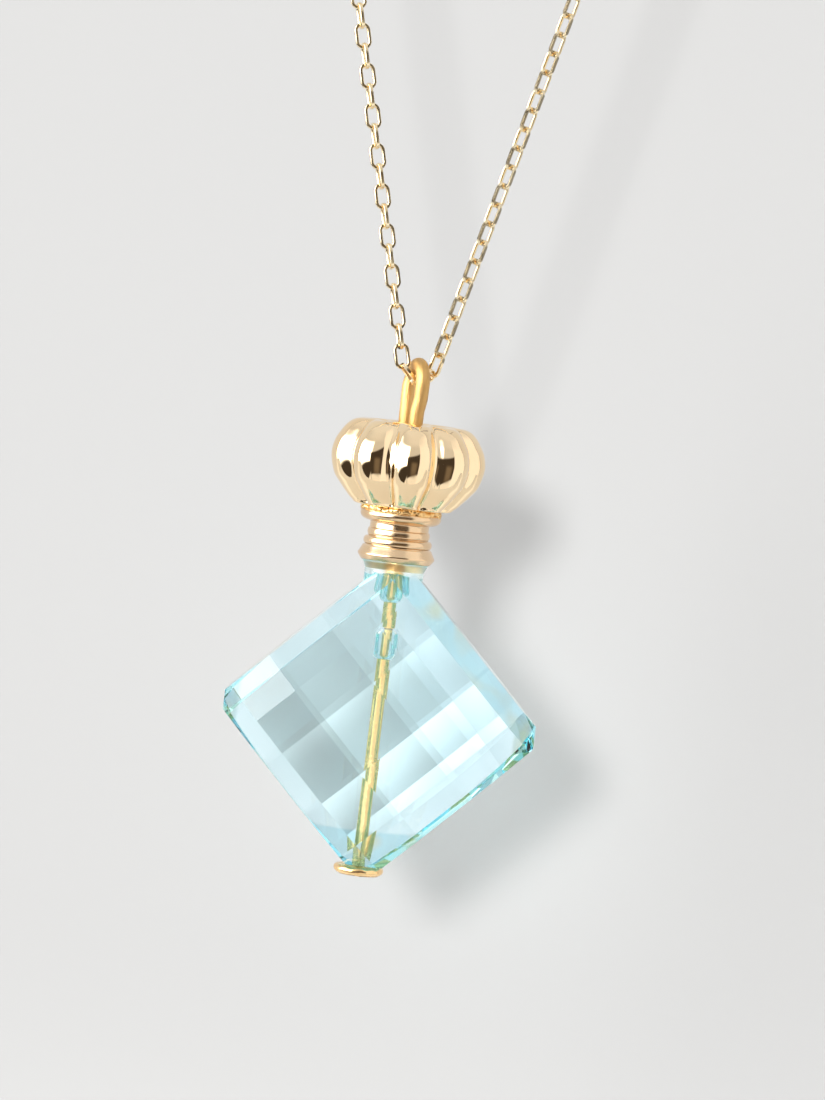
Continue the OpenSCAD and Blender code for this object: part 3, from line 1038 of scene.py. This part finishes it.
def painted_edge_reflections(tree, place):
    """Where the painted reflections lie: along the upper right side, at the foot and in the
    corners, on the front only."""
    x, y, height = add_node(tree, "ShaderNodeSeparateXYZ", Vector=place).outputs
    up_right = math_value(tree, "MULTIPLY", math_value(tree, "ADD", x, height), math.sqrt(0.5))
    aside = math_value(tree, "ABSOLUTE", x)
    side_at = STONE_MID * math.sqrt(0.5) + REFLECTION_SIDE
    foot_at = STONE_MID - REFLECTION_FOOT
    side = edge_step(tree, up_right, side_at * MM, (side_at + SIDE_FADE) * MM)
    foot = edge_step(tree, height, foot_at * MM, (foot_at - FOOT_FADE) * MM)
    corner = edge_step(tree, aside, REFLECTION_CORNER * MM, (REFLECTION_CORNER + CORNER_FADE) * MM)
    # Painted reflections: how much of each place lies on the outer facets
    deep = math_value(tree, "MAXIMUM", math_value(tree, "MAXIMUM", side, foot), corner)
    return math_value(tree, "MULTIPLY", deep, edge_step(tree, y, 0.0, REFLECTION_FRONT * MM))


def stone_material():
    """Clear pale blue stone: smooth polished facets, with the blue in its depth, painted shade
    greyer left of the pin and painted reflections on its outer facets."""
    material, tree = new_material("clear_blue_stone")
    place = object_place(tree)
    height = add_node(tree, "ShaderNodeSeparateXYZ", Vector=place).outputs["Z"]
    # Painted shade: greyer near the zone left of the pin, the stone's own tint further off
    zone_x, zone_z, reach = PAINTED_SHADE_ZONE
    flat = stretched(tree, place, (1, 0, PAINTED_SHADE_FLATTENING))
    away = distance_to(tree, flat, (zone_x, 0, PAINTED_SHADE_FLATTENING * zone_z))
    colour = two_colours(tree, edge_step(tree, away, 0.0, reach * MM), *PAINTED_SHADE_AND_OWN_TINT)
    # Painted reflections on the outer facets: deep cyan and olive, in patches
    patches = ramp(tree, noise_value(tree, place, CLOUD_SCALE, 1), 0, 1, EDGE_REFLECTION_NOISE)
    reflected = two_colours(tree, patches, *EDGE_REFLECTION_COLOURS)
    colour = two_colours(tree, painted_edge_reflections(tree, place), colour, reflected)
    frosted = edge_step(tree, height, FROST_Z[0] * MM, FROST_Z[1] * MM)
    colour = two_colours(tree, frosted, colour, FROST_COLOUR)
    shader = add_node(
        tree, "ShaderNodeBsdfPrincipled", Base_Color=colour,
        Roughness=math_value(tree, "MULTIPLY", frosted, FROST_ROUGHNESS), IOR=STONE_IOR,
        Transmission_Weight=1.0
    )
    volume = add_node(
        tree, "ShaderNodeVolumeAbsorption", Color=(*STONE_BLUE, 1), Density=STONE_DENSITY
    )
    tinted = add_node(tree, "ShaderNodeBsdfTransparent", Color=(*SHADOW_TINT, 1))
    both = two_shaders(tree, ray_is(tree, "Shadow"), shader, tinted)
    finish_material(tree, both, volume)
    return material


def paper_material():
    """Matt pale paper, lighter on the floor, seen from its front only, so that it hides nothing
    from behind."""
    material, tree = new_material("stage_paper")
    place = object_place(tree)
    height = add_node(tree, "ShaderNodeSeparateXYZ", Vector=place).outputs["Z"]
    floor_z = cad_box[0].z - FLOOR_DROP * MM
    up = edge_step(tree, height, floor_z, floor_z + 2 * COVE_R * MM)
    colour = two_colours(tree, up, FLOOR_PAPER, BACKDROP_PAPER)
    # Seen through the stone, its shadow on the paper is darker and the paper round that is lighter
    patches = ramp(tree, noise_value(tree, place, PATCH_SCALE, 1), 0, 1, PATCH_NOISE)
    unshaded, unlit = (
        edge_step(tree, distance_to(tree, place, point), start * MM, end * MM)
        for point, (start, end) in ((SHADE_AT, SHADE_R), (GLOW_AT, GLOW_R))
    )
    lighter = two_colours(tree, unlit, GLOW_PAPER, two_colours(tree, patches, *LIT_PAPERS))
    darker = two_colours(tree, patches, *SHADE_PAPERS)
    through = two_colours(tree, unshaded, darker, lighter)
    colour = two_colours(tree, ray_is(tree, "Transmission"), colour, through)
    paper = add_node(tree, "ShaderNodeBsdfDiffuse", Color=colour)
    clear = add_node(tree, "ShaderNodeBsdfTransparent")
    behind = add_node(tree, "ShaderNodeNewGeometry").outputs["Backfacing"]
    finish_material(tree, two_shaders(tree, behind, paper, clear))
    return material


def dress(piece, material):
    piece.data.materials.clear()
    piece.data.materials.append(material)


def dress_node(node, material):
    for place in frame["nodes"][node].material_slots:
        place.material = material


# Stage and lights

def make_stage():
    floor_z = cad_box[0].z / MM - FLOOR_DROP
    section = [(BACKDROP_Y, BACKDROP_TOP)]
    for k in range(COVE_STEPS + 1):
        a = math.pi / 2 * k / COVE_STEPS
        section.append((
            BACKDROP_Y - COVE_R + COVE_R * math.cos(a), floor_z + COVE_R - COVE_R * math.sin(a)
        ))
    section.append((FLOOR_FRONT, floor_z))
    points = [(x, y, z) for x in (-STAGE_HALF, STAGE_HALF) for y, z in section]
    count = len(section)
    faces = [(k, k + 1, count + k + 1, count + k) for k in range(count - 1)]
    sweep = new_piece("stage_sweep", points, faces)
    dress(sweep, paper_material())


def make_flags():
    material, tree = new_material("flag_grey")
    finish_material(tree, add_node(tree, "ShaderNodeBsdfDiffuse", Color=(*FLAG_GREY, 1)))
    slope = math.tan(STRAND_LEAN)
    points = [
        (HOLE_HALF + BEND_R + z * slope + side * FLAG_OFF, y, SWING_Z + z)
        for side in (-1, 1) for z in FLAG_Z for y in (-FLAG_HALF, FLAG_HALF)
    ]
    flags = new_piece("stage_flags", points, [(0, 1, 3, 2), (4, 5, 7, 6)])
    dress(flags, material)
    flags.visible_camera = False
    flags.visible_diffuse = False
    flags.visible_transmission = False
    flags.visible_shadow = False


def make_key():
    """The soft light on the paper, its power worked out from how bright its face looks."""
    data = bpy.data.lights.new("key", "AREA")
    data.shape = "RECTANGLE"
    data.size = data.size_y = KEY_SIDE * MM
    data.energy = KEY_RADIANCE * math.pi * data.size * data.size_y
    light = bpy.data.objects.new("key", data)
    bpy.context.scene.collection.objects.link(light)
    place = CAMERA_TARGET + KEY_OFFSET
    light.location = place * MM
    light.rotation_mode = "QUATERNION"
    light.rotation_quaternion = (CAMERA_TARGET - place).to_track_quat("-Z", "Y")
    light.visible_camera = False
    light.visible_glossy = False


def make_studio():
    """The room's light by direction, which the metal and the stone reflect."""
    world = bpy.data.worlds.new("world")
    bpy.context.scene.world = world
    world.use_nodes = True
    tree = world.node_tree
    direction = add_node(tree, "ShaderNodeTexCoord").outputs["Generated"]
    parts = add_node(tree, "ShaderNodeSeparateXYZ", Vector=direction).outputs
    toward = math_value(tree, "MULTIPLY", parts["Y"], -1.0)
    azimuth = math_value(tree, "ARCTAN2", parts["X"], toward)
    elevation = math_value(tree, "ARCSINE", parts["Z"])
    light = ROOM
    for azimuths, elevations, slant, edge, radiance in STUDIO:
        mask = 1.0
        half = math.radians(edge) / 2
        skewed = math_value(tree, "MULTIPLY_ADD", azimuth, -slant, elevation)
        for value, (low, high), limit in ((azimuth, azimuths, 180), (skewed, elevations, 90)):
            at_low, at_high = math.radians(low), math.radians(high)
            if low > -limit:
                step = edge_step(tree, value, at_low - half, at_low + half)
                mask = math_value(tree, "MULTIPLY", step, mask)
            if high < limit:
                step = edge_step(tree, value, at_high + half, at_high - half)
                mask = math_value(tree, "MULTIPLY", step, mask)
        light = two_colours(tree, mask, light, radiance)
    soft = two_colours(tree, STONE_SHARE, STONE_ROOM, light)
    light = two_colours(tree, ray_is(tree, "Transmission"), light, soft)
    light = two_colours(tree, ray_is(tree, "Camera"), light, PALE_ROOM)
    tree.links.new(light, tree.nodes["Background"].inputs["Color"])


def set_look():
    scene = bpy.context.scene
    scene.view_settings.view_transform = "Standard"
    scene.cycles.max_bounces = BOUNCES
    scene.cycles.glossy_bounces = BOUNCES
    scene.cycles.transmission_bounces = BOUNCES
    scene.cycles.transparent_max_bounces = CLEAR_BOUNCES
    scene.cycles.caustics_reflective = False
    scene.cycles.caustics_refractive = True


make_camera()
chain_gold = gold_material("chain_gold")
dress(make_chain(), chain_gold)
dress_node("clasp", chain_gold)
dress(make_bail(), satin_gold_material())
dress(make_pin(), pin_gold_material())
dress(make_crown(), gold_material("pale_gold", solder_z=CROWN_LOW.z + SOLDERED_H))
dress(make_collar(), gold_material("turned_gold"))
dress(make_solder(), gold_material("solder_gold"))
dress(make_stone(), stone_material())
make_stage()
make_flags()
make_studio()
make_key()
set_look()
